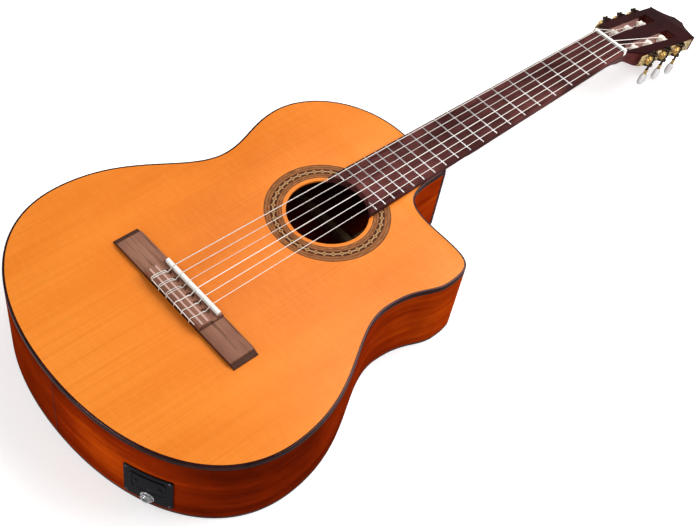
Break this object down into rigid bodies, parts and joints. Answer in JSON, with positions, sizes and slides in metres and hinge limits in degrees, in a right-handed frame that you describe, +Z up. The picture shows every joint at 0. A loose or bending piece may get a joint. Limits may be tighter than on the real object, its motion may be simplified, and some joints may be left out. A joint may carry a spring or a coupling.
{
  "type": "classical guitar",
  "caption": "Classical guitar with a cutaway: hollow wooden body, round sound hole, fretted neck, slotted head with worm-geared tuners and a battery drawer on the rib.",
  "frame": {"origin": "on the outer face of the back, on the body's centre line, straight below the saddle", "axes": "+Z up out of the soundboard, square to the flat back that the guitar lies on; +Y along the centre line to the head; +X to the treble side with the cutaway"},
  "size_m": [0.3824, 0.985, 0.1105],
  "materials": {
    "cedar_top": "satin",
    "mahogany": "gloss",
    "binding": "gloss",
    "rosette_inlay": "gloss",
    "spruce": "matte",
    "head_veneer": "gloss",
    "rosewood": "satin",
    "bone": "satin",
    "bridge_wood": "satin",
    "gold_plate": "polished",
    "black_plastic": "satin",
    "battery_case": "satin",
    "chrome": "polished",
    "fret_wire": "polished",
    "nylon_string": "clear nylon",
    "wound_string": "silver-plated winding",
    "pearl": "pearl",
    "roller": "satin barrel with a brass gear"
  },
  "bodies": {
    "guitar": {"soundboard": "cedar_top", "back": "mahogany", "rib_bass": "mahogany", "rib_treble": "mahogany", "binding_top": "binding", "binding_back": "binding", "rosette": "rosette_inlay", "linings_with_end_block": "spruce", "top_bracing": "spruce", "back_bracing": "spruce", "neck": "mahogany", "headstock_veneer": "head_veneer", "fingerboard": "rosewood", "nut": "bone", "bridge": "bridge_wood", "saddle": "bone", "fret_01": "fret_wire", "fret_02": "fret_wire", "fret_03": "fret_wire", "fret_04": "fret_wire", "fret_05": "fret_wire", "fret_06": "fret_wire", "fret_07": "fret_wire", "fret_08": "fret_wire", "fret_09": "fret_wire", "fret_10": "fret_wire", "fret_11": "fret_wire", "fret_12": "fret_wire", "fret_13": "fret_wire", "fret_14": "fret_wire", "fret_15": "fret_wire", "fret_16": "fret_wire", "fret_17": "fret_wire", "fret_18": "fret_wire", "fret_19_bass": "fret_wire", "fret_19_treble": "fret_wire", "string_1_high_e": "nylon_string", "string_2_b": "nylon_string", "string_3_g": "nylon_string", "string_4_d": "wound_string", "string_5_a": "wound_string", "string_6_low_e": "wound_string", "tuner_plate_treble": "gold_plate", "tuner_plate_bass": "gold_plate", "battery_panel": "black_plastic", "output_jack": "chrome"},
    "button_treble_1": {"button_treble_1": "pearl"},
    "roller_treble_1": {"roller_treble_1": "roller"},
    "button_treble_2": {"button_treble_2": "pearl"},
    "roller_treble_2": {"roller_treble_2": "roller"},
    "button_treble_3": {"button_treble_3": "pearl"},
    "roller_treble_3": {"roller_treble_3": "roller"},
    "button_bass_1": {"button_bass_1": "pearl"},
    "roller_bass_1": {"roller_bass_1": "roller"},
    "button_bass_2": {"button_bass_2": "pearl"},
    "roller_bass_2": {"roller_bass_2": "roller"},
    "button_bass_3": {"button_bass_3": "pearl"},
    "roller_bass_3": {"roller_bass_3": "roller"},
    "battery_drawer": {"battery_drawer": "black_plastic", "battery": "battery_case"}
  },
  "joints": [
    {"name": "button_treble_1_turn", "type": "hinge", "parent": "guitar", "child": "button_treble_1", "pos_m": [0.0416, 0.70322, 0.08072], "axis": [0, 0.2539, 0.9672], "continuous": true},
    {"name": "roller_treble_1_turn", "type": "hinge", "parent": "guitar", "child": "roller_treble_1", "pos_m": [0, 0.6931, 0.07407], "axis": [1, 0, 0], "continuous": true},
    {"name": "button_treble_2_turn", "type": "hinge", "parent": "guitar", "child": "button_treble_2", "pos_m": [0.0416, 0.73707, 0.07184], "axis": [0, 0.2539, 0.9672], "continuous": true},
    {"name": "roller_treble_2_turn", "type": "hinge", "parent": "guitar", "child": "roller_treble_2", "pos_m": [0, 0.72695, 0.06519], "axis": [1, 0, 0], "continuous": true},
    {"name": "button_treble_3_turn", "type": "hinge", "parent": "guitar", "child": "button_treble_3", "pos_m": [0.0416, 0.77093, 0.06295], "axis": [0, 0.2539, 0.9672], "continuous": true},
    {"name": "roller_treble_3_turn", "type": "hinge", "parent": "guitar", "child": "roller_treble_3", "pos_m": [0, 0.76081, 0.0563], "axis": [1, 0, 0], "continuous": true},
    {"name": "button_bass_1_turn", "type": "hinge", "parent": "guitar", "child": "button_bass_1", "pos_m": [-0.0416, 0.70322, 0.08072], "axis": [0, 0.2539, 0.9672], "continuous": true},
    {"name": "roller_bass_1_turn", "type": "hinge", "parent": "guitar", "child": "roller_bass_1", "pos_m": [0, 0.6931, 0.07407], "axis": [1, 0, 0], "continuous": true},
    {"name": "button_bass_2_turn", "type": "hinge", "parent": "guitar", "child": "button_bass_2", "pos_m": [-0.0416, 0.73707, 0.07184], "axis": [0, 0.2539, 0.9672], "continuous": true},
    {"name": "roller_bass_2_turn", "type": "hinge", "parent": "guitar", "child": "roller_bass_2", "pos_m": [0, 0.72695, 0.06519], "axis": [1, 0, 0], "continuous": true},
    {"name": "button_bass_3_turn", "type": "hinge", "parent": "guitar", "child": "button_bass_3", "pos_m": [-0.0416, 0.77093, 0.06295], "axis": [0, 0.2539, 0.9672], "continuous": true},
    {"name": "roller_bass_3_turn", "type": "hinge", "parent": "guitar", "child": "roller_bass_3", "pos_m": [0, 0.76081, 0.0563], "axis": [1, 0, 0], "continuous": true},
    {"name": "battery_drawer_slide", "type": "slide", "parent": "guitar", "child": "battery_drawer", "axis": [0.4291, -0.9032, 0.0111], "range_m": [0, 0.045]}
  ],
  "couplings": [
    {"joint": "roller_treble_1_turn", "follows": "button_treble_1_turn", "ratio": -0.071429},
    {"joint": "roller_treble_2_turn", "follows": "button_treble_2_turn", "ratio": -0.071429},
    {"joint": "roller_treble_3_turn", "follows": "button_treble_3_turn", "ratio": -0.071429},
    {"joint": "roller_bass_1_turn", "follows": "button_bass_1_turn", "ratio": -0.071429},
    {"joint": "roller_bass_2_turn", "follows": "button_bass_2_turn", "ratio": -0.071429},
    {"joint": "roller_bass_3_turn", "follows": "button_bass_3_turn", "ratio": -0.071429}
  ]
}
